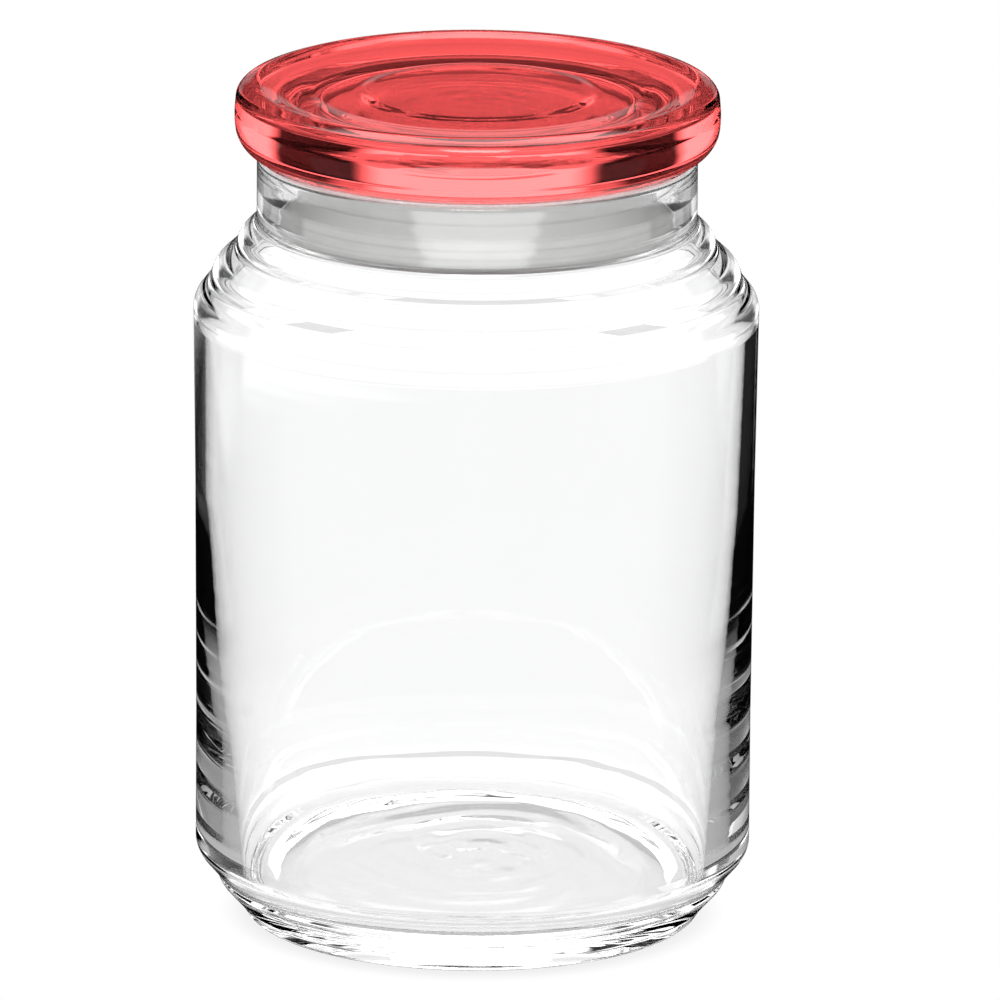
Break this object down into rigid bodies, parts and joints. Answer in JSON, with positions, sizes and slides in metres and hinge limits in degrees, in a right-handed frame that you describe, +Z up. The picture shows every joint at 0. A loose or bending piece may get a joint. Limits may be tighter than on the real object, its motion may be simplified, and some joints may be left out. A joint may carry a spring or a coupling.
{
  "type": "candy jar",
  "caption": "Round clear glass jar with a stepped shoulder and foot, closed by a flat red glass lid whose plug carries a ribbed seal ring.",
  "frame": {"origin": "centre of the ring that the jar stands on, at the table", "axes": "+Z up along the jar's axis, through the middle of the lid; every piece is round about it"},
  "size_m": [0.109, 0.109, 0.1651],
  "materials": {
    "clear_glass": "fire-polished clear glass",
    "red_glass": "glossy pressed glass, red, see-through",
    "frosted_plastic": "soft milky translucent plastic, satin"
  },
  "bodies": {
    "jar": {"jar": "clear_glass"},
    "lid": {"lid": "red_glass", "seal": "frosted_plastic"}
  },
  "joints": [
    {"name": "lid_lift", "type": "slide", "parent": "jar", "child": "lid", "axis": [0, 0, 1], "range_m": [0, 0.12]}
  ]
}
